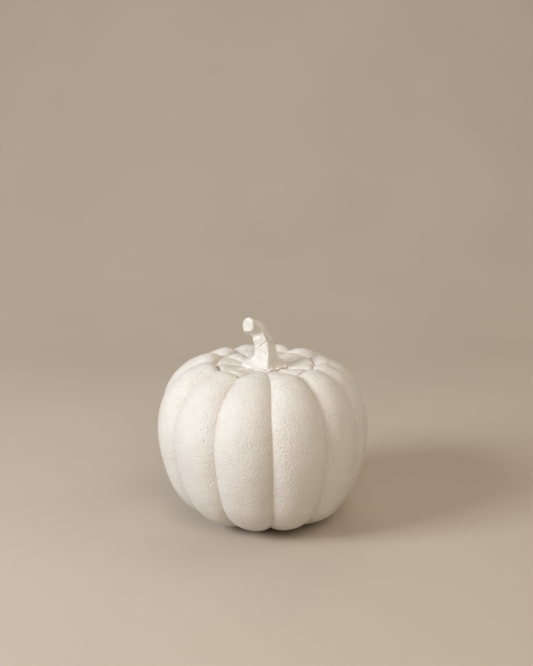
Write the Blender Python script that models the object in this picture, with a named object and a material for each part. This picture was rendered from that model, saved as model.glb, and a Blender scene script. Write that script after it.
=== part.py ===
"""A small ribbed ornamental gourd, standing on its base, with a curved and cut stem.

Everything is in metres, with +Z up and the front towards -Y. The origin is on the
surface that the gourd stands on, under the middle of the fruit. Angles round the
fruit are measured from the front, and grow towards +X.
"""

import math

import bmesh
import bpy
from mathutils import Vector

# The fruit: driving sizes.
RADIUS = 0.055
EQUATOR_HEIGHT = 0.822 * RADIUS
GROOVE_DEPTH = 0.058 * RADIUS
GROOVE_ANGLES = (-27.5, 4.3, 35.9, 65.8, 90.4, 121.0, 154.0, 183.0, 212.0, 235.0, 268.6, 300.0)
MEAN_RIB_ANGLE = 360.0 / len(GROOVE_ANGLES)
RIB_ROUNDNESS = 2.5

# How far each rib stands out, from the one that starts at the first groove.
RIB_REACH = (1.0, 1.0, 0.998, 0.984, 0.990, 0.994, 1.0, 1.004, 1.012, 1.020, 1.014, 1.002)

# The crest of a rib, from its lowest place up to its highest, as in a side view: share
# of the radius, and height over the equator as a share of the radius.
CREST = (
    (0.33, -0.832),
    (0.46, -0.80),
    (0.62, -0.735),
    (0.76, -0.64),
    (0.865, -0.50),
    (0.93, -0.34),
    (0.975, -0.17),
    (1.00, 0.00),
    (1.00, 0.175),
    (0.965, 0.35),
    (0.89, 0.51),
    (0.765, 0.64),
    (0.63, 0.71),
)

# Sideways place of the fruit's middle, by height over the equator, as shares of the radius.
LEAN = ((-0.83, 0.022), (-0.40, 0.006), (0.0, 0.0), (0.45, -0.006), (0.68, 0.008), (0.80, 0.014))

# The blossom end: a shallow hollow. Round it the ribs are flattened where they rest, because
# their lowest places are set a little under the surface that they stand on.
HOLLOW_RADIUS = 0.25
HOLLOW_DEPTH = 0.050 * RADIUS

# The crown, from the top of the ribs in to the middle: share of the radius, and height
# over the equator as a share of the radius. The narrow crease is where the ribs end.
CREASE = 0.473
CROWN_OUTLINE = (
    (0.580, 0.728),
    (0.535, 0.727),
    (0.500, 0.712),
    (CREASE, 0.678),
    (0.450, 0.698),
    (0.415, 0.709),
    (0.360, 0.704),
    (0.300, 0.692),
    (0.235, 0.682),
    (0.155, 0.678),
    (0.075, 0.678),
)

# How deep the grooves are, as shares of GROOVE_DEPTH, by the share of the radius.
LOWER_GROOVES = ((0.0, 0.0), (0.20, 0.12), (0.36, 0.34), (0.60, 0.75), (0.85, 0.95), (1.0, 1.0))
UPPER_GROOVES = (
    (0.0, 0.0),
    (0.12, 0.04),
    (0.22, 0.26),
    (0.32, 0.44),
    (0.43, 0.50),
    (CREASE, 0.42),
    (0.52, 0.66),
    (0.62, 1.05),
    (0.85, 1.12),
    (1.0, 1.0),
)

COLUMNS_PER_RIB = 8
HOLLOW_ROWS = 4
CREST_ROWS = 18

# The stem: the line through its middle, from the middle of the fruit, as shares of RADIUS.
STEM_LINE = (
    (-0.001, -0.025, 0.697),
    (0.007, -0.033, 0.783),
    (0.003, -0.046, 0.860),
    (-0.020, -0.063, 0.936),
    (-0.055, -0.086, 1.014),
    (-0.108, -0.113, 1.082),
    (-0.186, -0.134, 1.110),
)
STEM_NECK = 0.106 * RADIUS
STEM_FOOT = 0.231 * RADIUS
STEM_WAIST = 0.092 * RADIUS
STEM_END = 0.075 * RADIUS
STEM_FLARE = 0.045 * RADIUS

# The angles of its five ridges at the foot, and where they have turned to at the cut end.
FOOT_RIDGES = (6.0, 84.0, 150.0, 212.0, 276.0)
END_RIDGES = (41.0, 98.0, 152.0, 216.0, 290.0)
RIDGES_TURNED = 0.8

# The way the flat cut faces, and the share of the length where rings tilt into its plane.
CUT_FACING = Vector((-0.97, -0.18, 0.10)).normalized()
CUT_SHARE = 0.3
STEM_SIDE_COLUMNS = 5
STEM_STATIONS = 20
STEM_HOLLOWING = 0.10
STEM_ROUND_REACH = 0.92
STEM_END_ROUNDNESS = 0.55
FOOT_LIP = 0.0011
FOOT_GAP = 0.0003
END_BEVEL = 0.0010
END_HOLLOW = 0.0008

SKIN_COLOUR = (0.83, 0.79, 0.73, 1.0)
STEM_COLOUR = (0.85, 0.81, 0.74, 1.0)


def smooth_step(share):
    """Rises from 0 to 1 with level ends, for a share from 0 to 1."""
    share = min(1.0, max(0.0, share))
    return share * share * (3.0 - 2.0 * share)


def along(pairs, position):
    """Reads a curve through (position, value) pairs, in rising order of position."""
    for (low, at_low), (high, at_high) in zip(pairs, pairs[1:]):
        if position <= high:
            share = (position - low) / (high - low)
            return at_low + (at_high - at_low) * min(1.0, max(0.0, share))
    return pairs[-1][1]


def spline(points, position):
    """The point at a position from 0 to 1 on a Catmull-Rom curve through the points."""
    spans = len(points) - 1
    index = min(int(position * spans), spans - 1)
    share = position * spans - index
    near = [Vector(points[min(max(index + step, 0), spans)]) for step in (-1, 0, 1, 2)]
    return 0.5 * (
        2.0 * near[1]
        + (near[2] - near[0]) * share
        + (2.0 * near[0] - 5.0 * near[1] + 4.0 * near[2] - near[3]) * share**2
        + (3.0 * near[1] - near[0] - 3.0 * near[2] + near[3]) * share**3
    )


def material(name, colour, roughness):
    """A plain matt Principled material."""
    made = bpy.data.materials.new(name)
    made.use_nodes = True
    shader = made.node_tree.nodes["Principled BSDF"]
    shader.inputs["Base Color"].default_value = colour
    shader.inputs["Roughness"].default_value = roughness
    shader.inputs["Metallic"].default_value = 0.0
    return made


def crest_rows():
    """Each row of a rib's crest, from the blossom end to the crown: share of the radius, height, groove depth."""
    rows = []
    lowest = EQUATOR_HEIGHT + CREST[0][1] * RADIUS
    for step in range(1, HOLLOW_ROWS + 1):
        share = HOLLOW_RADIUS * step / HOLLOW_ROWS
        hollow = HOLLOW_DEPTH * (1.0 - smooth_step(share / HOLLOW_RADIUS))
        rows.append((share, lowest + hollow, along(LOWER_GROOVES, share)))
    for step in range(CREST_ROWS + 1):
        share, rise, _ = spline([(share, rise, 0.0) for share, rise in CREST], step / CREST_ROWS)
        grooves = LOWER_GROOVES if rise < 0.0 else UPPER_GROOVES
        rows.append((share, EQUATOR_HEIGHT + rise * RADIUS, along(grooves, share)))
    for share, rise in CROWN_OUTLINE:
        rows.append((share, EQUATOR_HEIGHT + rise * RADIUS, along(UPPER_GROOVES, share)))
    return [(share * RADIUS, height, depth * GROOVE_DEPTH) for share, height, depth in rows]


def rib_at(angle):
    """The rib that an angle falls in: how far across it, from 0 to 1, and its width in degrees."""
    starts = GROOVE_ANGLES
    for start, end in zip(starts, starts[1:] + (starts[0] + 360.0,)):
        turned = (angle - start) % 360.0
        if turned < end - start:
            return turned / (end - start), end - start
    return 0.0, MEAN_RIB_ANGLE


def reach_at(across, reach):
    """How far a rib stands out at a place across it: its own reach on its crest, and 1 in the grooves."""
    return 1.0 + (reach - 1.0) * (1.0 - (2.0 * across - 1.0) ** 2)


def sunk(across, width):
    """Share of the groove's depth at a place across a rib: 0 on its crest, 1 in a groove."""
    return abs(2.0 * across - 1.0) ** RIB_ROUNDNESS * (width / MEAN_RIB_ANGLE) ** 0.5


def crown_height(radius, angle):
    """Height of the crown's surface inside the crease, where the stem's foot lies on it."""
    share = radius / RADIUS
    inside = tuple(reversed(CROWN_OUTLINE))
    floor = EQUATOR_HEIGHT + along(inside, share) * RADIUS
    across, width = rib_at(angle)
    return floor - along(UPPER_GROOVES, share) * GROOVE_DEPTH * sunk(across, width)


def on_circle(radius, angle, height):
    """The point at a radius, an angle from the front in degrees, and a height."""
    turn = math.radians(angle)
    return Vector((radius * math.sin(turn), -radius * math.cos(turn), height))


def column_angles():
    """The angle of each column of the fruit's mesh, its groove's share of depth, and its rib's reach there."""
    columns = []
    ends = GROOVE_ANGLES[1:] + (GROOVE_ANGLES[0] + 360.0,)
    for start, end, reach in zip(GROOVE_ANGLES, ends, RIB_REACH):
        for step in range(COLUMNS_PER_RIB):
            across = step / COLUMNS_PER_RIB
            angle = start + (end - start) * across
            columns.append((angle, sunk(across, end - start), reach_at(across, reach)))
    return columns


def outward_normals(rows):
    """The outline's outward normal at each row, in the plane of radius and height."""
    normals = []
    for index in range(len(rows)):
        before = rows[max(index - 1, 0)]
        after = rows[min(index + 1, len(rows) - 1)]
        along_radius, along_height = after[0] - before[0], after[1] - before[1]
        length = math.hypot(along_radius, along_height)
        normals.append((along_height / length, -along_radius / length))
    return normals


def skin_over(bm, rings, first_pole, last_pole):
    """Joins closed rings of equal count with quads, and closes each end on its pole, all facing out."""
    loops = [[bm.verts.new(point) for point in ring] for ring in rings]
    count = len(loops[0])
    first_tip, last_tip = bm.verts.new(first_pole), bm.verts.new(last_pole)
    for index in range(count):
        after = (index + 1) % count
        bm.faces.new((loops[0][after], loops[0][index], first_tip))
        for lower, upper in zip(loops, loops[1:]):
            bm.faces.new((lower[index], lower[after], upper[after], upper[index]))
        bm.faces.new((loops[-1][index], loops[-1][after], last_tip))


def finished(name, bm, made_material, sharp_angle):
    """Turns the built mesh into a smooth-shaded object of that name."""
    mesh = bpy.data.meshes.new(name)
    bm.to_mesh(mesh)
    bm.free()
    mesh.materials.append(made_material)
    mesh.shade_smooth()
    mesh.set_sharp_from_angle(angle=math.radians(sharp_angle))
    made = bpy.data.objects.new(name, mesh)
    bpy.context.scene.collection.objects.link(made)
    return made


def lean_at(height):
    """How far the fruit's middle is from the axis, towards +X, at a height."""
    return along(LEAN, (height - EQUATOR_HEIGHT) / RADIUS) * RADIUS


def fruit():
    """The ribbed fruit, one solid, with its blossom end below and its lobed crown above."""
    rows = crest_rows()
    rings = []
    for (radius, height, depth), (out, up) in zip(rows, outward_normals(rows)):
        ring = []
        over = height > EQUATOR_HEIGHT
        for angle, share, reach in column_angles():
            inward = depth * share
            if over and radius < CREASE * RADIUS:
                point = on_circle(radius, angle, crown_height(radius, angle))
            else:
                point = on_circle(radius * reach - out * inward, angle, height - up * inward)
                point.z += (height - EQUATOR_HEIGHT) * (reach - 1.0) if over else 0.0
            point.x += lean_at(point.z)
            point.z = max(point.z, 0.0)
            ring.append(point)
        rings.append(ring)
    bm = bmesh.new()
    blossom_end = Vector((lean_at(0.0), 0.0, HOLLOW_DEPTH))
    crown_middle = Vector((lean_at(crown_height(0.0, 0.0)), 0.0, crown_height(0.0, 0.0)))
    skin_over(bm, rings, blossom_end, crown_middle)
    return finished("fruit", bm, material("gourd_skin", SKIN_COLOUR, 0.55), 30.0)


def stem_columns(position):
    """The columns of the stem's mesh at a position from 0 to 1: angle, place across the side, half the side's angle."""
    turned = smooth_step(position / RIDGES_TURNED)
    ridges = [foot + (end - foot) * turned for foot, end in zip(FOOT_RIDGES, END_RIDGES)]
    columns = []
    for start, end in zip(ridges, ridges[1:] + [ridges[0] + 360.0]):
        for step in range(STEM_SIDE_COLUMNS):
            across = step / STEM_SIDE_COLUMNS
            columns.append((start + (end - start) * across, across, math.radians(end - start) / 2.0))
    return columns


def stem_radius(position, travelled):
    """Reach of the stem's ridges, at a position from 0 to 1 and a distance from the foot."""
    flare = (STEM_FOOT - STEM_NECK) * math.exp(-travelled / STEM_FLARE)
    narrowing = (STEM_NECK - STEM_WAIST) * smooth_step(position / 0.65)
    swelling = (STEM_END - STEM_WAIST) * smooth_step((position - 0.65) / 0.35)
    return STEM_NECK + flare - narrowing + swelling


def stem_outline(reach, hollowing, roundness, position):
    """A ring of the stem, flat and round its own middle, for the reach of its ridges and how its sides curve."""
    ring = []
    for angle, across, half in stem_columns(position):
        side = math.cos(half) / math.cos((2.0 * across - 1.0) * half)
        side += (STEM_ROUND_REACH - side) * roundness
        ring.append(on_circle(reach * side * (1.0 - hollowing * math.sin(math.pi * across)), angle, 0.0))
    return ring


def cut_slide(point, middle, direction, position):
    """How far a ring's point slides along the stem, so that the last ring lies in the plane of the cut."""
    share = smooth_step((position - 1.0 + CUT_SHARE) / CUT_SHARE)
    return -share * (point - middle).dot(CUT_FACING) / direction.dot(CUT_FACING)


def on_crown(place, lift):
    """The point over a place of the plan that is lifted a little off the crown."""
    angle = math.degrees(math.atan2(place.x, -place.y))
    return Vector((place.x, place.y, crown_height(math.hypot(place.x, place.y), angle) + lift))


def stem_rings():
    """Rings of points up the stem, and the middle of its cut end."""
    start = Vector((0.0, 0.0, EQUATOR_HEIGHT))
    middles = [start + spline(STEM_LINE, step / STEM_STATIONS) * RADIUS for step in range(STEM_STATIONS + 1)]
    rings = []
    travelled = 0.0
    for index, middle in enumerate(middles):
        position = index / STEM_STATIONS
        before, after = middles[max(index - 1, 0)], middles[min(index + 1, STEM_STATIONS)]
        direction = (after - before).normalized()
        travelled += (middle - middles[max(index - 1, 0)]).length
        turn = Vector((0.0, 0.0, 1.0)).rotation_difference(direction)
        reach = stem_radius(position, travelled)
        hollowing = STEM_HOLLOWING * (1.0 - 0.7 * smooth_step(position * 2.0))
        roundness = STEM_END_ROUNDNESS * smooth_step((position - 0.4) / 0.6)
        ring = []
        for flat in stem_outline(reach, hollowing, roundness, position):
            point = middle + turn @ flat
            ring.append(point + direction * cut_slide(point, middle, direction, position))
        rings.append(ring)
    return rings, middles[-1]


def stem():
    """The woody stem, one solid: a five-cornered foot on the crown, a neck that bends over, and a cut end."""
    rings, end = stem_rings()
    foot = Vector((STEM_LINE[0][0], STEM_LINE[0][1], 0.0)) * RADIUS
    foot_edge = stem_outline(STEM_FOOT, STEM_HOLLOWING, 0.0, 0.0)
    under = []
    for share in (0.25, 0.50, 0.75, 1.0):
        under.append([on_crown(foot + edge * share, FOOT_GAP) for edge in foot_edge])
    lip = [on_crown(foot + edge, FOOT_GAP + FOOT_LIP) for edge in foot_edge]
    rings[0] = [Vector((point.x, point.y, max(point.z, low.z))) for point, low in zip(rings[0], lip)]
    bevelled = []
    for point in rings[-1]:
        inward = (end - point).normalized()
        bevelled.append(point + (inward + CUT_FACING) * END_BEVEL)
    bm = bmesh.new()
    bottom = on_crown(foot, FOOT_GAP)
    hollow_end = end + CUT_FACING * (END_BEVEL - END_HOLLOW)
    skin_over(bm, under + [lip] + rings[1:] + [bevelled], bottom, hollow_end)
    made = finished("stem", bm, material("dry_stem", STEM_COLOUR, 0.65), 35.0)
    made.location.x = lean_at(bottom.z)
    return made


def centre_on_origin(objects):
    """Moves the whole gourd so that the middle of its outline is over the origin."""
    bpy.context.view_layer.update()
    corners = [made.matrix_world @ Vector(corner) for made in objects for corner in made.bound_box]
    for axis in (0, 1):
        values = [corner[axis] for corner in corners]
        middle = (min(values) + max(values)) / 2.0
        for made in objects:
            made.location[axis] -= middle


def main():
    """Clears the scene and builds the gourd."""
    for old in list(bpy.data.objects):
        bpy.data.objects.remove(old, do_unlink=True)
    centre_on_origin([fruit(), stem()])


main()
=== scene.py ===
"""Looks of a small ribbed ornamental gourd: its white rind, its bent stem and a plain studio.

Every length is in metres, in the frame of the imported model: +Z up, the front towards -Y.
Angles round the fruit are in degrees from the front, and grow towards +X.
"""

from __future__ import annotations

import logging
import math
from dataclasses import dataclass, field
from enum import Enum

import bpy
import numpy as np
from mathutils import Matrix, Vector

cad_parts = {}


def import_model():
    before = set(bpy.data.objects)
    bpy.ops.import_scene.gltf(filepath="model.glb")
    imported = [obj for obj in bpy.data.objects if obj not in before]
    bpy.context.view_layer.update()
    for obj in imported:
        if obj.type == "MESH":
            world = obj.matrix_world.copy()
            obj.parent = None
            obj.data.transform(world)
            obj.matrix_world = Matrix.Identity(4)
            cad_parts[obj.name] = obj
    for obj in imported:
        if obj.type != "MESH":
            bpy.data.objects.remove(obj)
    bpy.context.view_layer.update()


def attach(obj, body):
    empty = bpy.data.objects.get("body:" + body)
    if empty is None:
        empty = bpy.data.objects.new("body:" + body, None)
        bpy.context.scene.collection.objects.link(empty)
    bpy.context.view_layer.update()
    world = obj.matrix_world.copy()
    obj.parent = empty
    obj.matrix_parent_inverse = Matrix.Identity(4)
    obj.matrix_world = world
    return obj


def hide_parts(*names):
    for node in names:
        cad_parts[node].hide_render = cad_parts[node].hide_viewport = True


LOG = logging.getLogger("gourd")

RADIUS = 0.055
EQUATOR = 0.822 * RADIUS
CURVE_POINTS = 400
WEIGHT_STEPS = 20

Colour = tuple[float, float, float]
Pairs = tuple[tuple[float, float], ...]


class Socket(Enum):
    """Kinds of value that a node group takes or gives."""

    NUMBER = "NodeSocketFloat"
    PLACE = "NodeSocketVector"


@dataclass(frozen=True)
class Relief:
    """A cloudy unevenness of a surface, in metres: the width of its swells and its full height."""

    size: float
    height: float
    layers: int = 2


def smooth_step(share: np.ndarray) -> np.ndarray:
    """Rise from 0 to 1 with level ends.

    Args:
        share: Places from 0 to 1; places outside are held at the ends.

    Returns:
        The heights at those places.
    """
    held = np.clip(share, 0.0, 1.0)
    return held * held * (3.0 - 2.0 * held)


def spline(points: np.ndarray, places: np.ndarray) -> np.ndarray:
    """Read a Catmull-Rom curve.

    Args:
        points: The points that the curve runs through, one in each row.
        places: Places along it from 0 to 1.

    Returns:
        The points of the curve at those places, one in each row.
    """
    spans = len(points) - 1
    index = np.minimum((places * spans).astype(int), spans - 1)
    share = (places * spans - index)[:, None]
    near = [points[np.clip(index + step, 0, spans)] for step in (-1, 0, 1, 2)]
    return 0.5 * (
        2.0 * near[1]
        + (near[2] - near[0]) * share
        + (2.0 * near[0] - 5.0 * near[1] + 4.0 * near[2] - near[3]) * share**2
        + (3.0 * near[1] - near[0] - 3.0 * near[2] + near[3]) * share**3
    )


def along(pairs: Pairs, places: np.ndarray) -> np.ndarray:
    """Read a curve given as (place, value) pairs in rising order of place.

    Args:
        pairs: The pairs.
        places: Where to read it.

    Returns:
        The values there.
    """
    return np.interp(places, [place for place, _ in pairs], [value for _, value in pairs])


def ring_places(outline: np.ndarray, count: int, dense: Pairs) -> np.ndarray:
    """Spread rows along an outline, closer together where it bends.

    Args:
        outline: The outline's points, close together, one in each row.
        count: How many rows to place, both ends among them.
        dense: How closely rows lie, by share of the outline's length.

    Returns:
        The outline's values at each row.
    """
    steps = np.hypot(*np.diff(outline[:, :2], axis=0).T)
    length = np.concatenate([[0.0], np.cumsum(steps)])
    length /= length[-1]
    crowding = np.concatenate([[0.0], np.cumsum(np.diff(length) * along(dense, length[1:]))])
    wanted = np.linspace(0.0, crowding[-1], count)
    at = np.interp(wanted, crowding, length)
    return np.stack([np.interp(at, length, outline[:, k]) for k in range(outline.shape[1])], axis=1)


def outward(rows: np.ndarray) -> np.ndarray:
    """Find the outward normals of an outline that runs from the base up to the crown.

    Args:
        rows: Radius and height of each row.

    Returns:
        The normals, as shares along radius and height, one for each row.
    """
    run, rise = np.gradient(rows[:, 0]), np.gradient(rows[:, 1])
    size = np.hypot(run, rise)
    return np.stack([rise / size, -run / size], axis=1)


def clear_selection() -> None:
    """Deselect every object, so that an operator reaches only what comes next."""
    if bpy.context.mode != "OBJECT":
        bpy.ops.object.mode_set(mode="OBJECT")
    bpy.ops.object.select_all(action="DESELECT")


def choose(piece: bpy.types.Object) -> None:
    """Select one piece alone and make it the active one."""
    clear_selection()
    piece.select_set(True)
    bpy.context.view_layer.objects.active = piece


def ball(name: str, meridians: int, rings: int) -> tuple[bpy.types.Object, np.ndarray, np.ndarray]:
    """Add a ball whose rings and meridians are then moved to their places on a closed form.

    Args:
        name: The piece's name.
        meridians: How many columns run from pole to pole.
        rings: How many steps lie between the two poles.

    Returns:
        The object, and each corner's ring (0 at the lower pole) and meridian (0 at the front).
    """
    clear_selection()
    bpy.ops.mesh.primitive_uv_sphere_add(segments=meridians, ring_count=rings, radius=1.0)
    piece = bpy.context.active_object
    piece.name = name
    piece.data.name = name
    places = corners_of(piece)
    ring = np.rint(rings * (1.0 - np.arccos(np.clip(places[:, 2], -1.0, 1.0)) / math.pi)).astype(int)
    turn = np.arctan2(places[:, 0], -places[:, 1]) / (2.0 * math.pi)
    meridian = np.rint(turn * meridians).astype(int) % meridians
    return piece, ring, meridian


def corners_of(piece: bpy.types.Object) -> np.ndarray:
    """Read the places of a mesh's corners, one in each row."""
    places = np.empty(len(piece.data.vertices) * 3, np.float32)
    piece.data.vertices.foreach_get("co", places)
    return places.reshape(-1, 3).astype(float)


def move_corners(piece: bpy.types.Object, places: np.ndarray) -> None:
    """Put a mesh's corners at new places, one in each row."""
    piece.data.vertices.foreach_set("co", places.astype(np.float32).ravel())
    piece.data.update()


def mark(piece: bpy.types.Object, name: str, shares: np.ndarray) -> None:
    """Store a share for each corner, which the piece's material reads by name."""
    stored = piece.data.attributes.new(name, "FLOAT", "POINT")
    stored.data.foreach_set("value", shares.astype(np.float32))


def weigh(piece: bpy.types.Object, name: str, shares: np.ndarray) -> None:
    """Store a share for each corner as a vertex group, in a few even steps."""
    group = piece.vertex_groups.new(name=name)
    steps = np.rint(np.clip(shares, 0.0, 1.0) * WEIGHT_STEPS).astype(int)
    for step in range(1, WEIGHT_STEPS + 1):
        group.add(np.nonzero(steps == step)[0].tolist(), step / WEIGHT_STEPS, "REPLACE")


def raise_relief(piece: bpy.types.Object, relief: Relief, group: str) -> None:
    """Raise and sink a surface by a procedural pattern, and keep the result in its mesh.

    Args:
        piece: The piece.
        relief: The pattern's sizes.
        group: The vertex group that says where the relief is strong.
    """
    pattern = bpy.data.textures.new(f"{piece.name}_swells", "CLOUDS")
    pattern.noise_scale = relief.size
    pattern.noise_depth = relief.layers
    push = piece.modifiers.new("relief", "DISPLACE")
    push.texture = pattern
    push.texture_coords = "LOCAL"
    push.direction = "NORMAL"
    push.mid_level = 0.5
    push.strength = relief.height
    push.vertex_group = group
    choose(piece)
    bpy.ops.object.modifier_apply(modifier=push.name)


def dress(piece: bpy.types.Object, finish: bpy.types.Material) -> None:
    """Give a piece its one material and smooth shading."""
    piece.data.materials.clear()
    piece.data.materials.append(finish)
    choose(piece)
    bpy.ops.object.shade_smooth()


class Graph:
    """A node tree under construction."""

    def __init__(self, tree: bpy.types.NodeTree) -> None:
        """Take the tree to build in."""
        self.tree = tree

    def node(self, kind: str, **values: object) -> bpy.types.Node:
        """Add a node.

        Args:
            kind: The node's type name without its "ShaderNode" start.
            values: Settings of the node, set by name.

        Returns:
            The node.
        """
        made = self.tree.nodes.new(f"ShaderNode{kind}")
        for name, value in values.items():
            setattr(made, name, value)
        return made

    def link(self, output: bpy.types.NodeSocket, target: bpy.types.NodeSocket) -> None:
        """Join an output to an input."""
        self.tree.links.new(output, target)

    def feed(self, target: bpy.types.NodeSocket, source: object) -> None:
        """Give an input either a fixed value or another node's output."""
        if isinstance(source, bpy.types.NodeSocket):
            self.link(source, target)
        else:
            target.default_value = source

    def maths(
        self, action: str, first: object, second: object, clamp: bool = False
    ) -> bpy.types.NodeSocket:
        """Add a Math node.

        Args:
            action: Its operation.
            first: Its first value or source.
            second: Its second value or source.
            clamp: Whether the result is held between 0 and 1.

        Returns:
            Its output.
        """
        made = self.node("Math", operation=action, use_clamp=clamp)
        self.feed(made.inputs[0], first)
        self.feed(made.inputs[1], second)
        return made.outputs[0]

    def window(self, value: object, low: object, high: object) -> bpy.types.NodeSocket:
        """Rise smoothly from 0 to 1 while a value goes from low to high.

        Args:
            value: The source.
            low: Where the rise starts.
            high: Where the rise ends.

        Returns:
            The output.
        """
        made = self.node("MapRange", interpolation_type="SMOOTHSTEP")
        self.feed(made.inputs["Value"], value)
        self.feed(made.inputs["From Min"], low)
        self.feed(made.inputs["From Max"], high)
        return made.outputs["Result"]

    def blend(self, share: object, first: object, second: object) -> bpy.types.NodeSocket:
        """Mix two colours.

        Args:
            share: How much of the second colour shows.
            first: A colour of four numbers, or a source.
            second: A colour of four numbers, or a source.

        Returns:
            The mixed colour's output.
        """
        made = self.node("Mix", data_type="RGBA")
        self.feed(made.inputs[0], share)
        self.feed(made.inputs[6], first)
        self.feed(made.inputs[7], second)
        return made.outputs[2]

    def noise(
        self, where: object, scale: object, detail: float, **values: float
    ) -> bpy.types.NodeSocket:
        """Add a Noise texture.

        Args:
            where: The coordinates' source.
            scale: Swells for each metre.
            detail: How many finer layers it has.
            values: Other inputs by name, with spaces as underscores.

        Returns:
            Its height, about 0.5 on average.
        """
        made = self.node("TexNoise")
        self.feed(made.inputs["Vector"], where)
        self.feed(made.inputs["Scale"], scale)
        made.inputs["Detail"].default_value = detail
        for name, value in values.items():
            made.inputs[name.replace("_", " ")].default_value = value
        return made.outputs[0]


def four(colour: Colour) -> tuple[float, float, float, float]:
    """Give a colour its alpha."""
    return (*colour, 1.0)


def new_group(
    name: str, inputs: dict[str, Socket], outputs: dict[str, Socket]
) -> tuple[Graph, bpy.types.Node, bpy.types.Node]:
    """Start a shader node group.

    Args:
        name: Its name.
        inputs: Kind of each input, by name.
        outputs: Kind of each output, by name.

    Returns:
        Its graph, its input node and its output node.
    """
    tree = bpy.data.node_groups.new(name, "ShaderNodeTree")
    for title, kind in inputs.items():
        tree.interface.new_socket(title, in_out="INPUT", socket_type=kind.value)
    for title, kind in outputs.items():
        tree.interface.new_socket(title, in_out="OUTPUT", socket_type=kind.value)
    graph = Graph(tree)
    return graph, tree.nodes.new("NodeGroupInput"), tree.nodes.new("NodeGroupOutput")


@dataclass(frozen=True)
class Pores:
    """Small round pores scattered over a surface, as a node group that both finishes share.

    Sizes differ from pore to pore, and are shares of the size that the group is given.
    """

    smallest: float = 0.45
    flat_middle: float = 0.35

    def group(self) -> bpy.types.NodeTree:
        """Build the group, whose output is 1 in a pore and 0 between them."""
        numbers = dict.fromkeys(("Spacing", "Size", "Share"), Socket.NUMBER)
        inputs = {"Vector": Socket.PLACE, **numbers}
        graph, given, made = new_group("pores", inputs, {"Mask": Socket.NUMBER})
        cells = graph.node("TexVoronoi", feature="F1")
        graph.link(given.outputs["Vector"], cells.inputs["Vector"])
        graph.link(graph.maths("DIVIDE", 1.0, given.outputs["Spacing"]), cells.inputs["Scale"])
        parted = graph.node("SeparateColor")
        graph.link(cells.outputs["Color"], parted.inputs[0])
        reach = graph.maths("DIVIDE", given.outputs["Size"], given.outputs["Spacing"])
        uneven = graph.maths("MULTIPLY", reach, graph.maths("ADD", parted.outputs[1], self.smallest))
        middle = graph.maths("MULTIPLY", uneven, self.flat_middle)
        inside = graph.maths("SUBTRACT", 1.0, graph.window(cells.outputs["Distance"], middle, uneven))
        chosen = graph.maths("LESS_THAN", parted.outputs[0], given.outputs["Share"])
        graph.link(graph.maths("MULTIPLY", inside, chosen), made.inputs["Mask"])
        return graph.tree


@dataclass(frozen=True)
class Grain:
    """The fine uneven grain with faint slanted wrinkles in places, as a shared node group.

    The slant is in degrees from upright. The height is the grain's beside a wrinkle's, a wrinkle's
    length is in multiples of its width, and the place scale is the scale of the wrinkled places as a
    share of the grain's.
    """

    height: float = 1.8
    layers: float = 2.0
    coarseness: float = 0.6
    slant: float = 42.0
    wrinkle_length: float = 2.8
    wrinkle_bend: float = 0.3
    wrinkle_rise: tuple[float, float] = (0.50, 0.68)
    place_scale: float = 0.20
    place_rise: tuple[float, float] = (0.30, 0.66)

    def group(self) -> bpy.types.NodeTree:
        """Build the group, whose output is the grain's height."""
        numbers = dict.fromkeys(("Size", "Wrinkling"), Socket.NUMBER)
        inputs = {"Vector": Socket.PLACE, **numbers}
        graph, given, made = new_group("grain", inputs, {"Height": Socket.NUMBER})
        where = given.outputs["Vector"]
        scale = graph.maths("DIVIDE", 1.0, given.outputs["Size"])
        fine = graph.noise(where, scale, self.layers, Roughness=self.coarseness)
        slanted = graph.node("Mapping", vector_type="TEXTURE")
        slanted.inputs["Rotation"].default_value = (0.0, math.radians(self.slant), 0.0)
        slanted.inputs["Scale"].default_value = (1.0, 1.0, self.wrinkle_length)
        graph.link(where, slanted.inputs["Vector"])
        folds = graph.noise(slanted.outputs[0], scale, 1.0, Distortion=self.wrinkle_bend)
        raised = graph.window(folds, *self.wrinkle_rise)
        patches = graph.noise(where, graph.maths("MULTIPLY", scale, self.place_scale), self.layers)
        places = graph.window(patches, *self.place_rise)
        wrinkles = graph.maths("MULTIPLY", raised, places)
        wrinkled = graph.maths("MULTIPLY", wrinkles, given.outputs["Wrinkling"])
        height = graph.maths("ADD", graph.maths("MULTIPLY", fine, self.height), wrinkled)
        graph.link(height, made.inputs["Height"])
        return graph.tree


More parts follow.
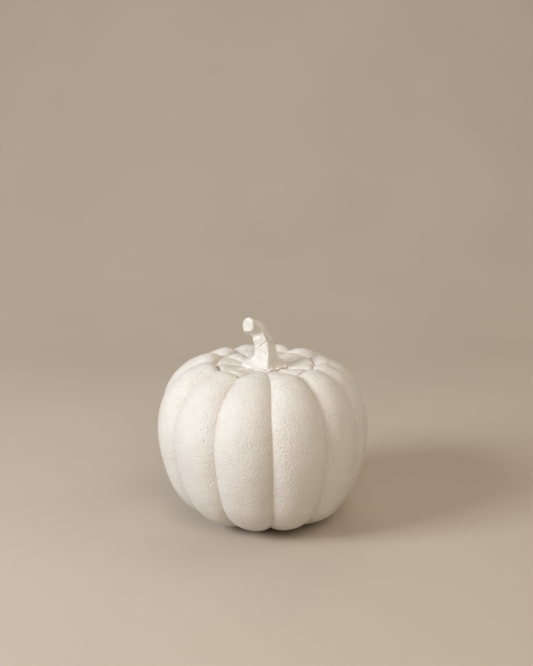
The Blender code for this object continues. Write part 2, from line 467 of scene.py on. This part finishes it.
@dataclass(frozen=True)
class ChalkyFinish:
    """A matt white surface with pores and grain, on the rind or on the stem.

    Lengths are in metres, and colours are linear. Specks are the finer pores between the others:
    their spacing, size and depth are shares of those of the pores.
    """

    name: str
    light: Colour
    shade: Colour
    # The hollow colour is painted shade, for the pores, the specks, the grooves, the crease and the stem's
    # cracks.
    hollow: Colour
    pore_spacing: float
    pore_size: float
    pore_share: float
    pore_depth: float
    grain_size: float
    grain_depth: float
    wrinkling: float
    roughness: float
    mottle_size: float = 0.009
    mottle_layers: float = 4.0
    mottle_rise: tuple[float, float] = (0.35, 0.75)
    speck_spacing: float = 0.55
    speck_size: float = 0.5
    speck_share: float = 0.6
    speck_depth: float = 0.4
    # Painted shade in the pits: how far pores and specks are darkened towards the hollow colour.
    pore_painted_shade: float = 0.50
    speck_painted_shade: float = 0.12
    painted_recess_shade: float = 0.50
    sheen_scale: float = 1.6
    sheen_layers: float = 3.0
    sheen_spread: float = 0.14
    pore_dullness: float = 0.2
    specular: float = 0.5

    def material(self, pores: bpy.types.NodeTree, grain: bpy.types.NodeTree) -> bpy.types.Material:
        """Build the material.

        Args:
            pores: The group that scatters pores.
            grain: The group that makes the grain.

        Returns:
            The material.
        """
        made = bpy.data.materials.new(self.name)
        made.use_nodes = True
        graph = Graph(made.node_tree)
        shader = made.node_tree.nodes["Principled BSDF"]
        where = graph.node("TexCoord").outputs["Object"]
        spacing, size = self.pore_spacing, self.pore_size
        pits = self._group(graph, pores, where, Spacing=spacing, Size=size, Share=self.pore_share)
        spacing, size = spacing * self.speck_spacing, size * self.speck_size
        specks = self._group(graph, pores, where, Spacing=spacing, Size=size, Share=self.speck_share)
        grained = self._group(graph, grain, where, Size=self.grain_size, Wrinkling=self.wrinkling)
        # The hollow attribute says where the grooves, the crease and the stem's cracks get painted shade.
        recess_painted_shade = graph.node("Attribute", attribute_name="hollow").outputs["Fac"]
        graph.link(self._colour(graph, where, pits, specks, recess_painted_shade), shader.inputs["Base Color"])
        graph.link(self._roughness(graph, where, pits), shader.inputs["Roughness"])
        graph.link(self._normal(graph, pits, specks, grained), shader.inputs["Normal"])
        shader.inputs["Specular IOR Level"].default_value = self.specular
        return made

    def _group(
        self, graph: Graph, tree: bpy.types.NodeTree, where: bpy.types.NodeSocket, **values: float
    ) -> bpy.types.NodeSocket:
        """Place a node group with its own values, and return its first output."""
        placed = graph.node("Group", node_tree=tree)
        graph.link(where, placed.inputs["Vector"])
        for name, value in values.items():
            placed.inputs[name].default_value = value
        return placed.outputs[0]

    def _colour(
        self,
        graph: Graph,
        where: bpy.types.NodeSocket,
        pits: bpy.types.NodeSocket,
        specks: bpy.types.NodeSocket,
        recess_painted_shade: bpy.types.NodeSocket,
    ) -> bpy.types.NodeSocket:
        """Mix the white with its faint mottling, and paint shade into the pores, specks and recesses by
        darkening them towards the hollow colour.
        """
        mottling = graph.noise(where, 1.0 / self.mottle_size, self.mottle_layers)
        patches = graph.window(mottling, *self.mottle_rise)
        tone = graph.blend(patches, four(self.light), four(self.shade))
        # Painted shade: the pores, the specks and the recesses are darkened towards the hollow colour.
        for places, tint in ((pits, self.pore_painted_shade), (specks, self.speck_painted_shade), (recess_painted_shade, self.painted_recess_shade)):
            tone = graph.blend(graph.maths("MULTIPLY", places, tint), tone, four(self.hollow))
        return tone

    def _roughness(
        self, graph: Graph, where: bpy.types.NodeSocket, pits: bpy.types.NodeSocket
    ) -> bpy.types.NodeSocket:
        """Vary the sheen a little over the surface, and dull it in the pores."""
        patches = graph.noise(where, self.sheen_scale / self.mottle_size, self.sheen_layers)
        lowest = self.roughness - self.sheen_spread / 2.0
        base = graph.maths("ADD", graph.maths("MULTIPLY", patches, self.sheen_spread), lowest)
        return graph.maths("ADD", base, graph.maths("MULTIPLY", pits, self.pore_dullness), clamp=True)

    def _normal(
        self,
        graph: Graph,
        pits: bpy.types.NodeSocket,
        specks: bpy.types.NodeSocket,
        grained: bpy.types.NodeSocket,
    ) -> bpy.types.NodeSocket:
        """Raise the grain, and sink the pores and specks."""
        raised = graph.node("Bump")
        raised.inputs["Distance"].default_value = self.grain_depth
        graph.link(grained, raised.inputs["Height"])
        pitted = graph.node("Bump", invert=True)
        pitted.inputs["Distance"].default_value = self.pore_depth
        depth = graph.maths("ADD", pits, graph.maths("MULTIPLY", specks, self.speck_depth))
        graph.link(depth, pitted.inputs["Height"])
        graph.link(raised.outputs[0], pitted.inputs["Normal"])
        return pitted.outputs[0]


RIND = ChalkyFinish(
    name="rind",
    light=(0.81, 0.775, 0.725),
    shade=(0.785, 0.74, 0.68),
    # Painted shade colour for the rind's pores, specks, grooves and crease.
    hollow=(0.52, 0.44, 0.35),
    pore_spacing=0.0021,
    pore_size=0.00034,
    pore_share=0.55,
    pore_depth=0.00016,
    grain_size=0.0008,
    grain_depth=0.00036,
    wrinkling=0.05,
    roughness=0.36,
)
BARK = ChalkyFinish(
    name="dry_stem",
    light=(0.80, 0.768, 0.718),
    shade=(0.735, 0.69, 0.625),
    # Painted shade colour for the stem's pores, specks and cracks.
    hollow=(0.42, 0.35, 0.27),
    pore_spacing=0.0026,
    pore_size=0.00045,
    pore_share=0.35,
    pore_depth=0.00022,
    grain_size=0.0011,
    grain_depth=0.00014,
    wrinkling=0.5,
    roughness=0.5,
    mottle_size=0.004,
)


@dataclass
class Fruit:
    """The ribbed rind, from the hollow of its blossom end up to its creased crown.

    Radii and heights are shares of RADIUS, and heights are over the equator. The heights that say
    where the surface is even and uneven are in metres over the floor.
    """

    grooves: tuple[float, ...] = (
        -27.5, 4.3, 35.9, 65.8, 90.4, 121.0, 154.0, 183.0, 212.0, 235.0, 268.6, 300.0
    )
    reaches: tuple[float, ...] = (
        1.0, 1.0, 0.998, 0.984, 0.990, 0.994, 1.0, 1.004, 1.012, 1.020, 1.014, 1.002
    )
    crest: Pairs = (
        (0.33, -0.832),
        (0.46, -0.80),
        (0.62, -0.735),
        (0.76, -0.64),
        (0.865, -0.50),
        (0.93, -0.34),
        (0.975, -0.17),
        (1.00, 0.00),
        (1.00, 0.175),
        (0.965, 0.35),
        (0.89, 0.51),
        (0.765, 0.64),
        (0.63, 0.71),
        (0.575, 0.728),
        (0.535, 0.728),
        (0.505, 0.715),
        (0.485, 0.697),
    )
    crown: Pairs = (
        (0.462, 0.694),
        (0.445, 0.704),
        (0.415, 0.709),
        (0.360, 0.704),
        (0.300, 0.692),
        (0.235, 0.682),
        (0.155, 0.678),
        (0.075, 0.678),
        (0.000, 0.678),
    )
    crease: tuple[float, float] = (0.473, 0.676)
    lean: Pairs = ((-0.83, 0.022), (-0.40, 0.006), (0.0, 0.0), (0.45, -0.006), (0.68, 0.008), (0.80, 0.014))
    lower_grooves: Pairs = ((0.0, 0.0), (0.20, 0.12), (0.36, 0.34), (0.60, 0.75), (0.85, 0.95), (1.0, 1.0))
    upper_grooves: Pairs = (
        (0.0, 0.0),
        (0.12, 0.04),
        (0.22, 0.26),
        (0.32, 0.44),
        (0.43, 0.50),
        (0.473, 0.42),
        (0.52, 0.66),
        (0.62, 1.05),
        (0.85, 1.12),
        (1.0, 1.0),
    )
    row_density: Pairs = (
        (0.0, 0.7),
        (0.15, 0.9),
        (0.6, 1.0),
        (0.78, 1.3),
        (0.82, 2.2),
        (0.87, 2.2),
        (0.9, 1.3),
        (1.0, 0.8),
    )
    groove_depth: float = 0.058
    rib_roundness: float = 2.5
    hollow_radius: float = 0.25
    hollow_depth: float = 0.050
    scallop: float = 0.035
    scallop_width: float = 0.055
    # Painted shade: how strongly the deep parts of the grooves and a band along the crease are darkened.
    groove_painted_shade: float = 0.35
    groove_painted_shade_sharpness: float = 6.0
    painted_shade_depth: float = 0.3
    crease_painted_shade: float = 0.25
    crease_painted_shade_width: float = 0.012
    reliefs: tuple[Relief, ...] = (Relief(0.020, 0.0006), Relief(0.0055, 0.00016))
    even_height: float = 0.002
    uneven_height: float = 0.014
    hollow_points: int = 80
    side_points: int = 900
    columns_in_rib: int = 32
    rings: int = 250
    column_crowding: float = 0.45
    centre: np.ndarray = field(default_factory=lambda: np.zeros(3))

    def outline(self) -> np.ndarray:
        """Lay out a rib's crest from the blossom end to the crown: radius, height and groove share."""
        share = np.linspace(0.0, self.hollow_radius, self.hollow_points)
        lowest = self.crest[0][1]
        sunk = lowest + self.hollow_depth * (1.0 - smooth_step(share / self.hollow_radius))
        hollow = np.stack([share, sunk], axis=1)
        side = spline(np.array(self.crest + (self.crease,)), np.linspace(0.0, 1.0, self.side_points))
        inner = spline(np.array((self.crease,) + self.crown), np.linspace(0.0, 1.0, CURVE_POINTS))[1:]
        line = np.concatenate([hollow, side, inner])
        under = along(self.lower_grooves, line[:, 0])
        over = along(self.upper_grooves, line[:, 0])
        return np.column_stack([line, np.where(line[:, 1] < 0.0, under, over)])

    def widths(self) -> np.ndarray:
        """Widths of the ribs, in degrees."""
        return np.diff(np.append(self.grooves, self.grooves[0] + 360.0))

    def columns(self) -> tuple[np.ndarray, np.ndarray, np.ndarray]:
        """Lay out the columns: their angles, their places across the rib and its reach there."""
        step = np.arange(self.columns_in_rib) / self.columns_in_rib
        across = step - self.column_crowding * np.sin(2.0 * math.pi * step) / (2.0 * math.pi)
        angle = np.array(self.grooves)[:, None] + np.outer(self.widths(), across)
        across = np.tile(across, len(self.grooves))
        reach = np.repeat(self.reaches, self.columns_in_rib)
        return angle.ravel(), across, 1.0 + (reach - 1.0) * self.crest_share(across)

    def crest_share(self, across: np.ndarray) -> np.ndarray:
        """Rise from 0 in the grooves to 1 on the crest, at places from 0 to 1 across a rib."""
        return 1.0 - (2.0 * across - 1.0) ** 2

    def sunk(self, across: np.ndarray, rib: np.ndarray) -> np.ndarray:
        """Find how far the surface sinks across a rib.

        Args:
            across: Places from 0 to 1 across a rib.
            rib: The number of the rib at each place. Wider ribs have deeper grooves.

        Returns:
            Shares of the grooves' depth, 0 on a crest and about 1 in a groove.
        """
        widths = self.widths()
        deepening = np.sqrt(widths / widths.mean())[rib]
        return np.abs(2.0 * across - 1.0) ** self.rib_roundness * deepening

    def crown_height(self, radius: np.ndarray, angle: np.ndarray) -> np.ndarray:
        """Height of the crown inside the crease, at radii and angles round the fruit's middle.

        Args:
            radius: Radii in metres.
            angle: Angles in degrees.

        Returns:
            Heights in metres.
        """
        share = radius / RADIUS
        profile = tuple(reversed(self.crown))
        widths = self.widths()
        turned = (angle[:, None] - np.array(self.grooves)) % 360.0
        rib = np.argmax(turned < widths, axis=1)
        across = turned[np.arange(len(angle)), rib] / widths[rib]
        depth = along(self.upper_grooves, share) * self.groove_depth * self.sunk(across, rib)
        return EQUATOR + (along(profile, share) - depth) * RADIUS

    def lean_at(self, height: np.ndarray) -> np.ndarray:
        """How far the fruit's middle is from the axis, towards +X, at heights in metres."""
        return along(self.lean, (height - EQUATOR) / RADIUS) * RADIUS

    def build(self, finish: bpy.types.Material) -> bpy.types.Object:
        """Model the rind.

        Args:
            finish: Its material.

        Returns:
            The piece.
        """
        columns = self.columns_in_rib * len(self.grooves)
        piece, ring, meridian = ball("gourd_rind", columns, self.rings)
        rows = ring_places(self.outline(), self.rings + 1, self.row_density)
        angle, across, reach = (part[meridian] for part in self.columns())
        sunk = self.sunk(across, meridian // self.columns_in_rib)
        stretch = (reach, self.crest_share(across))
        places = self._surface(rows[ring], outward(rows)[ring], angle, sunk, stretch)
        self.centre = (places.min(axis=0) + places.max(axis=0)) / 2.0 * np.array([1.0, 1.0, 0.0])
        places -= self.centre
        move_corners(piece, places)
        self._roughen(piece, places)
        # Painted shade in the grooves and along the crease, stored for the material.
        mark(piece, "hollow", self._painted_recess_shade(rows[ring], sunk))
        dress(piece, finish)
        return piece

    def _surface(
        self,
        rows: np.ndarray,
        normals: np.ndarray,
        angle: np.ndarray,
        sunk: np.ndarray,
        stretch: tuple[np.ndarray, np.ndarray],
    ) -> np.ndarray:
        """Place the corners: ribs with their own reach, sunk grooves and a scalloped crease.

        Args:
            rows: Each corner's radius, height and groove share on the outline.
            normals: The outline's outward normal there.
            angle: Each corner's angle in degrees.
            sunk: How far it lies in a groove.
            stretch: The rib's reach, and how near to its crest the corner is.

        Returns:
            The places, in metres.
        """
        radius, height, depth = rows.T
        reach, crest_share = stretch
        above = height > 0.0
        inside = above & (radius < self.crease[0])
        side, up = np.where(inside, 0.0, normals[:, 0]), np.where(inside, 1.0, normals[:, 1])
        inward = depth * self.groove_depth * sunk
        near_crease = np.exp(-(((radius - self.crease[0]) / self.scallop_width) ** 2))
        pulled = self.scallop * crest_share * above * near_crease
        reach = np.where(inside, 1.0, reach)
        out = (radius * reach * (1.0 - pulled) - side * inward) * RADIUS
        level = EQUATOR + (height * np.where(above, reach, 1.0) - up * inward) * RADIUS
        turn = np.radians(angle)
        across_lean = out * np.sin(turn) + self.lean_at(level)
        return np.column_stack([across_lean, -out * np.cos(turn), np.maximum(level, 0.0)])

    def _painted_recess_shade(self, rows: np.ndarray, sunk: np.ndarray) -> np.ndarray:
        """Say how far each corner lies in a groove or in the crease, where painted shade darkens the rind a
        little.
        """
        radius, height, depth = rows.T
        grooves = self.groove_painted_shade * sunk**self.groove_painted_shade_sharpness * (depth > self.painted_shade_depth)
        near_crease = np.exp(-(((radius - self.crease[0]) / self.crease_painted_shade_width) ** 2))
        return np.clip(grooves + self.crease_painted_shade * near_crease * (height > 0.0), 0.0, 1.0)

    def _roughen(self, piece: bpy.types.Object, places: np.ndarray) -> None:
        """Make the surface uneven, less so where it rests, and press the resting lobes flat again."""
        rise = self.uneven_height - self.even_height
        weigh(piece, "free", smooth_step((places[:, 2] - self.even_height) / rise))
        for relief in self.reliefs:
            raise_relief(piece, relief, "free")
        pressed = corners_of(piece)
        pressed[:, 2] = np.maximum(pressed[:, 2], 0.0)
        move_corners(piece, pressed)


@dataclass
class Stem:
    """The woody stem: a five-cornered foot on the crown, a bent neck and a cut end.

    The middle line and the thicknesses are shares of RADIUS, and heights are over the equator. A
    crack is a line of angles in degrees and places from 0 at the foot to 1 at the end. The sizes of
    the cracks, the lip, the bevel, the dish, the pith and the gap are in metres.
    """

    fruit: Fruit
    line: tuple[tuple[float, float, float], ...] = (
        (-0.001, -0.025, 0.697),
        (0.007, -0.038, 0.776),
        (0.001, -0.040, 0.862),
        (-0.029, -0.039, 0.952),
        (-0.077, -0.043, 1.030),
        (-0.133, -0.067, 1.068),
        (-0.150, -0.102, 1.087),
    )
    ridges: tuple[float, ...] = (6.0, 84.0, 150.0, 212.0, 276.0)
    end_ridges: tuple[float, ...] = (33.0, 98.0, 152.0, 216.0, 290.0)
    cracks: tuple[Pairs, ...] = (
        ((-46.0, 0.425), (-14.0, 0.465), (11.0, 0.49), (28.0, 0.51)),
        ((35.0, 0.64), (34.0, 0.585), (38.0, 0.52), (43.0, 0.47)),
        ((52.0, 0.445), (68.0, 0.43), (79.0, 0.44)),
        ((-4.0, 0.295), (2.0, 0.27)),
        ((118.0, 0.42), (128.0, 0.50), (150.0, 0.53)),
        ((214.0, 0.60), (232.0, 0.55), (243.0, 0.47)),
    )
    cracked_radius: float = 0.0945
    crack_width: float = 0.00032
    crack_depth: float = 0.00030
    neck: float = 0.105
    waist: float = 0.094
    end: float = 0.081
    foot: float = 0.231
    flare: float = 0.045
    waist_place: float = 0.65
    neck_softness: float = 13.0
    end_softness: float = 4.5
    turning: float = 0.8
    cut_facing: tuple[float, float, float] = (-0.62, -0.78, -0.05)
    cut_share: float = 0.42
    lip: float = 0.0007
    bevel: float = 0.0012
    dish: float = 0.0001
    dish_share: float = 0.4
    pith: float = 0.0003
    pith_share: float = 0.22
    gap: float = 0.0001
    reliefs: tuple[Relief, ...] = (Relief(0.0060, 0.00060), Relief(0.0019, 0.00018))
    even_share: float = 0.25
    meridians: int = 220
    rings: int = 240
    under_share: float = 0.10
    lip_share: float = 0.03
    rim_share: float = 0.06
    face_share: float = 0.10

    def reach(self, angle: np.ndarray, place: np.ndarray) -> np.ndarray:
        """Reach of the softly cornered section, with 1 near its ridges.

        Args:
            angle: Angles in degrees.
            place: Places from 0 at the foot to 1 at the cut end, where the corners are rounder.

        Returns:
            The reaches.
        """
        turned = smooth_step(place / self.turning)[:, None]
        starts = np.array(self.ridges) + (np.array(self.end_ridges) - np.array(self.ridges)) * turned
        ends = np.column_stack([starts[:, 1:], starts[:, 0] + 360.0])
        middle, half = np.radians((starts + ends) / 2.0), np.radians((ends - starts) / 2.0)
        facing = np.cos(np.radians(angle)[:, None] - middle) / np.cos(half)
        softness = self.neck_softness + (self.end_softness - self.neck_softness) * smooth_step(place)
        total = (np.maximum(facing, 0.0) ** softness[:, None]).sum(axis=1)
        return total ** (-1.0 / softness)

    def cracked(self, angle: np.ndarray, place: np.ndarray) -> np.ndarray:
        """Say how deep in a crack each point of the sides is.

        Args:
            angle: Angles in degrees.
            place: Places from 0 to 1.

        Returns:
            Shares, 1 in a crack's bottom and 0 away from it.
        """
        around = math.radians(1.0) * self.cracked_radius * RADIUS
        length = self.length() * RADIUS
        deepest = np.zeros(len(angle))
        for line in self.cracks:
            for (first, low), (last, high) in zip(line, line[1:]):
                turned = (angle - first + 180.0) % 360.0 - 180.0
                across, up = turned * around, (place - low) * length
                run, rise = (last - first) * around, (high - low) * length
                share = np.clip((across * run + up * rise) / (run * run + rise * rise), 0.0, 1.0)
                away = np.hypot(across - share * run, up - share * rise)
                deepest = np.maximum(deepest, np.exp(-((away / self.crack_width) ** 2)))
        return deepest

    def length(self) -> float:
        """Length of the stem's middle line, as a share of RADIUS."""
        points = spline(np.array(self.line), np.linspace(0.0, 1.0, CURVE_POINTS))
        return float(np.linalg.norm(np.diff(points, axis=0), axis=1).sum())

    def build(self, finish: bpy.types.Material) -> bpy.types.Object:
        """Model the stem.

        Args:
            finish: Its material.

        Returns:
            The piece.
        """
        piece, ring, meridian = ball("gourd_stem", self.meridians, self.rings)
        angle = meridian * 360.0 / self.meridians
        share = ring / self.rings
        places = np.zeros((len(ring), 3))
        under = share <= self.under_share
        top = 1.0 - self.rim_share - self.face_share
        low = self.under_share + self.lip_share
        body = (share > self.under_share) & (share <= top)
        upward = np.clip((share - low) / (top - low), 0.0, 1.0)
        reach = self.reach(angle, upward)
        places[under] = self._on_crown(share[under] / self.under_share, angle[under], reach[under])
        crack = np.where(body, self.cracked(angle, upward), 0.0)
        rolled = (share[body] - self.under_share) / self.lip_share
        places[body] = self._side(upward[body], angle[body], reach[body], rolled, crack[body])
        rim = share > top
        places[rim] = self._cut_end((share[rim] - top) / (1.0 - top), angle[rim], reach[rim])
        places[:, 0] += self._lean()
        places -= self.fruit.centre
        move_corners(piece, places)
        weigh(piece, "free", smooth_step((share - low) / self.even_share))
        for relief in self.reliefs:
            raise_relief(piece, relief, "free")
        # Painted shade in the bottoms of the cracks, stored for the material.
        mark(piece, "hollow", crack)
        dress(piece, finish)
        return piece

    def _lean(self) -> float:
        """How far the crown's middle, which the stem is measured from, leans towards +X."""
        level = self.fruit.crown_height(np.array([0.0]), np.array([0.0]))
        return float(self.fruit.lean_at(level)[0])

    def _on_crown(self, share: np.ndarray, angle: np.ndarray, reach: np.ndarray) -> np.ndarray:
        """Points of the foot's underside, which follows the crown, at shares of the way to its edge."""
        middle = Vector(self.line[0]) * RADIUS
        out = self.foot * RADIUS * reach * share
        turn = np.radians(angle)
        x, y = middle.x + out * np.sin(turn), middle.y - out * np.cos(turn)
        around = np.degrees(np.arctan2(x, -y))
        level = self.fruit.crown_height(np.hypot(x, y), around) + self.gap
        return np.column_stack([x, y, level])

    def _centres(self, place: np.ndarray) -> tuple[np.ndarray, np.ndarray, np.ndarray]:
        """Middles of the stem at places from 0 to 1, with its direction and the length from the foot."""
        points = spline(np.array(self.line), np.linspace(0.0, 1.0, CURVE_POINTS))
        steps = np.linalg.norm(np.diff(points, axis=0), axis=1)
        length = np.concatenate([[0.0], np.cumsum(steps)])
        slope = np.gradient(points, axis=0)
        slope /= np.linalg.norm(slope, axis=1)[:, None]
        at = place * length[-1]
        middle = np.stack([np.interp(at, length, points[:, k]) for k in range(3)], axis=1)
        direction = np.stack([np.interp(at, length, slope[:, k]) for k in range(3)], axis=1)
        direction /= np.linalg.norm(direction, axis=1)[:, None]
        middle[:, 2] += EQUATOR / RADIUS
        return middle * RADIUS, direction, at

    def _across(self, direction: np.ndarray, angle: np.ndarray) -> np.ndarray:
        """Unit vectors across the stem at angles in degrees, turned with its direction."""
        turn = np.radians(angle)
        flat = np.column_stack([np.sin(turn), -np.cos(turn), np.zeros(len(turn))])
        axis = np.cross(np.array([0.0, 0.0, 1.0]), direction)
        sine = np.linalg.norm(axis, axis=1)
        axis /= np.maximum(sine, 1e-6)[:, None]
        cosine = direction[:, 2]
        along_axis = (axis * flat).sum(axis=1)[:, None] * axis * (1.0 - cosine)[:, None]
        return flat * cosine[:, None] + np.cross(axis, flat) * sine[:, None] + along_axis

    def _thickness(self, place: np.ndarray, length: np.ndarray) -> np.ndarray:
        """Reach of the ridges at places from 0 to 1 and at lengths from the foot."""
        flare = (self.foot - self.neck) * np.exp(-length / self.flare)
        narrowing = (self.neck - self.waist) * smooth_step(place / self.waist_place)
        beyond = (place - self.waist_place) / (1.0 - self.waist_place)
        swelling = (self.end - self.waist) * smooth_step(beyond)
        return self.neck + flare - narrowing + swelling

    def _facing(self) -> np.ndarray:
        """Unit vector that the cut end faces along."""
        facing = np.array(self.cut_facing)
        return facing / np.linalg.norm(facing)

    def _cut_slide(self, across: np.ndarray, direction: np.ndarray, place: np.ndarray) -> np.ndarray:
        """Slide points near the end along the stem, so that it ends in the tilted plane of the cut."""
        facing = self._facing()
        share = smooth_step((place - 1.0 + self.cut_share) / self.cut_share)
        slide = -share * (across @ facing) / (direction @ facing)
        return direction * slide[:, None]

    def _side(
        self, place: np.ndarray, angle: np.ndarray, reach: np.ndarray, lip: np.ndarray, crack: np.ndarray
    ) -> np.ndarray:
        """Points on the lip and the sides of the stem."""
        middle, direction, length = self._centres(place)
        out = self._thickness(place, length) * reach * RADIUS - self.crack_depth * crack
        across = self._across(direction, angle) * out[:, None]
        points = middle + across + self._cut_slide(across, direction, place)
        edge = self._on_crown(np.ones(len(angle)), angle, reach)
        raised = edge.copy()
        raised[:, 2] += self.lip
        points[:, 2] = np.maximum(points[:, 2], raised[:, 2])
        rolling = np.clip(lip, 0.0, 1.0)[:, None]
        return np.where(lip[:, None] < 1.0, edge + (raised - edge) * rolling, points)

    def _cut_end(self, share: np.ndarray, angle: np.ndarray, reach: np.ndarray) -> np.ndarray:
        """Points on the rounded rim and the face of the cut end, which has a small dimple of pith."""
        place = np.ones(len(share))
        middle, direction, length = self._centres(place)
        out = self._thickness(place, length) * reach * RADIUS
        turned = self.rim_share / (self.rim_share + self.face_share)
        rim = np.clip(share / turned, 0.0, 1.0)
        inward = np.clip((share - turned) / (1.0 - turned), 0.0, 1.0)
        round_off = self.bevel * (1.0 - np.cos(rim * math.pi / 2.0))
        rise = self.bevel * np.sin(rim * math.pi / 2.0)
        dish = self.dish * smooth_step(inward / self.dish_share)
        dish += self.pith * smooth_step((inward - 1.0 + self.pith_share) / self.pith_share)
        radius = (out - round_off) * (1.0 - inward)
        across = self._across(direction, angle) * radius[:, None]
        slide = self._cut_slide(across, direction, place)
        return middle + across + slide + self._facing() * (rise - dish)[:, None]


@dataclass(frozen=True)
class Softbox:
    """A square soft light, hung round the fruit and aimed at its middle.

    The azimuth is 0 towards the camera and grows towards +X. Lengths are in metres.
    """

    name: str
    azimuth: float
    elevation: float
    distance: float
    side: float
    power: float
    colour: Colour

    def hang(self) -> None:
        """Create the light."""
        turn, rise = math.radians(self.azimuth), math.radians(self.elevation)
        away = Vector((math.sin(turn) * math.cos(rise), -math.cos(turn) * math.cos(rise), math.sin(rise)))
        lamp = bpy.data.lights.new(self.name, "AREA")
        lamp.shape = "SQUARE"
        lamp.size = self.side
        lamp.energy = self.power
        lamp.color = self.colour
        placed = bpy.data.objects.new(self.name, lamp)
        placed.location = Vector((0.0, 0.0, EQUATOR)) + away * self.distance
        placed.rotation_euler = (-away).to_track_quat("-Z", "Y").to_euler()
        bpy.context.scene.collection.objects.link(placed)


@dataclass
class Studio:
    """A pale seamless backdrop, one soft light from the left and weak fills round it.

    The paper lies flat up to its sweep, which starts behind the fruit and turns it up into a wall.
    """

    paper: Colour = (0.551, 0.483, 0.403)
    paper_shade: float = 0.965
    paper_roughness: float = 0.9
    paper_specular: float = 0.2
    mottle_scale: float = 9.0
    mottle_layers: float = 3.0
    mottle_rise: tuple[float, float] = (0.3, 0.7)
    sheet: float = 4.0
    sweep_place: float = 0.30
    sweep_radius: float = 0.55
    sweep_steps: int = 48
    wall: float = 2.0
    boxes: tuple[Softbox, ...] = (
        Softbox("key", -63.0, 28.0, distance=0.95, side=0.35, power=7.35, colour=(0.95, 1.0, 1.07)),
        Softbox("front_fill", 15.0, 40.0, distance=0.95, side=0.5, power=2.2, colour=(1.16, 1.0, 0.82)),
        Softbox("right_fill", 96.0, 46.0, distance=1.0, side=0.6, power=1.85, colour=(1.08, 1.0, 0.88)),
        Softbox("back_fill", 180.0, 60.0, distance=1.0, side=0.6, power=1.2, colour=(1.09, 1.0, 0.94)),
    )
    room_colour: Colour = (1.0, 0.91, 0.78)
    room_strength: float = 0.18

    def build(self) -> None:
        """Make the backdrop, the light and the surroundings."""
        self._backdrop()
        for box in self.boxes:
            box.hang()
        self._surroundings()
        bpy.context.scene.view_settings.view_transform = "Standard"

    def _backdrop(self) -> None:
        """Lay a sheet of paper on the floor and sweep it up behind."""
        clear_selection()
        middle = self.sweep_place - self.sheet / 2.0
        bpy.ops.mesh.primitive_plane_add(size=self.sheet, location=(0.0, middle, 0.0))
        floor = bpy.context.active_object
        floor.name = "studio_paper"
        bpy.ops.object.transform_apply(location=True, rotation=False, scale=False)
        bpy.ops.object.mode_set(mode="EDIT")
        bpy.ops.mesh.select_mode(type="EDGE")
        bpy.ops.mesh.select_all(action="DESELECT")
        bpy.ops.object.mode_set(mode="OBJECT")
        for edge in floor.data.edges:
            edge.select = all(floor.data.vertices[corner].co.y > 0.0 for corner in edge.vertices)
        bpy.ops.object.mode_set(mode="EDIT")
        bpy.ops.mesh.spin(
            steps=self.sweep_steps,
            angle=math.radians(90.0),
            center=(0.0, self.sweep_place, self.sweep_radius),
            axis=(-1.0, 0.0, 0.0),
            dupli=False,
        )
        bpy.ops.mesh.extrude_region_move(TRANSFORM_OT_translate={"value": (0.0, 0.0, self.wall)})
        bpy.ops.object.mode_set(mode="OBJECT")
        self._paper_material(floor)

    def _paper_material(self, floor: bpy.types.Object) -> None:
        """Give the paper its plain warm tone with a faint mottling."""
        made = bpy.data.materials.new("studio_paper")
        made.use_nodes = True
        graph = Graph(made.node_tree)
        shader = made.node_tree.nodes["Principled BSDF"]
        where = graph.node("TexCoord").outputs["Object"]
        mottling = graph.noise(where, self.mottle_scale, self.mottle_layers)
        patches = graph.window(mottling, *self.mottle_rise)
        darker = tuple(self.paper_shade * part for part in self.paper)
        graph.link(graph.blend(patches, four(self.paper), four(darker)), shader.inputs["Base Color"])
        shader.inputs["Roughness"].default_value = self.paper_roughness
        shader.inputs["Specular IOR Level"].default_value = self.paper_specular
        dress(floor, made)

    def _surroundings(self) -> None:
        """Let a dim warm room fill the shadows."""
        world = bpy.data.worlds.new("room")
        world.use_nodes = True
        shade = world.node_tree.nodes["Background"]
        shade.inputs["Color"].default_value = four(self.room_colour)
        shade.inputs["Strength"].default_value = self.room_strength
        bpy.context.scene.world = world


@dataclass
class View:
    """The camera, placed from where the fruit's middle lies in a frame of 533 by 666 pixels.

    The distance is in multiples of RADIUS, the elevation in degrees, the sensor's width in
    millimetres and the nearest visible distance in metres.
    """

    frame: tuple[float, float] = (533.0, 666.0)
    middle: tuple[float, float] = (262.8, 433.3)
    distance: float = 10.87
    elevation: float = 19.54
    focal_pixels: float = 1130.5
    sensor: float = 36.0
    nearest: float = 0.01

    def build(self) -> None:
        """Create the camera, aim it, and make it the scene's own."""
        rise = math.radians(self.elevation)
        aim = Vector((0.0, 0.0, EQUATOR))
        away = Vector((0.0, -math.cos(rise), math.sin(rise)))
        tilt = math.atan((self.middle[1] - self.frame[1] / 2.0) / self.focal_pixels)
        swing = math.atan((self.middle[0] - self.frame[0] / 2.0) / self.focal_pixels)
        look = Matrix.Rotation(tilt, 3, Vector((1.0, 0.0, 0.0))) @ -away
        look = Matrix.Rotation(swing, 3, Vector((0.0, 0.0, 1.0))) @ look
        lens = bpy.data.cameras.new("view")
        lens.sensor_width = self.sensor
        lens.lens = self.focal_pixels / max(self.frame) * self.sensor
        lens.clip_start = self.nearest
        camera = bpy.data.objects.new("view", lens)
        camera.location = aim + away * self.distance * RADIUS
        camera.rotation_euler = look.to_track_quat("-Z", "Y").to_euler()
        bpy.context.scene.collection.objects.link(camera)
        bpy.context.scene.camera = camera


def main() -> None:
    """Build the gourd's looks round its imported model, and report each piece."""
    logging.basicConfig(level=logging.INFO, format="%(message)s")
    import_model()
    pores, grain = Pores().group(), Grain().group()
    fruit = Fruit()
    rind = fruit.build(RIND.material(pores, grain))
    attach(rind, "root")
    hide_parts("fruit")
    LOG.info("rind: %d faces", len(rind.data.polygons))
    stalk = Stem(fruit).build(BARK.material(pores, grain))
    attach(stalk, "root")
    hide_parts("stem")
    LOG.info("stem: %d faces", len(stalk.data.polygons))
    Studio().build()
    View().build()


if __name__ == "__main__":
    main()
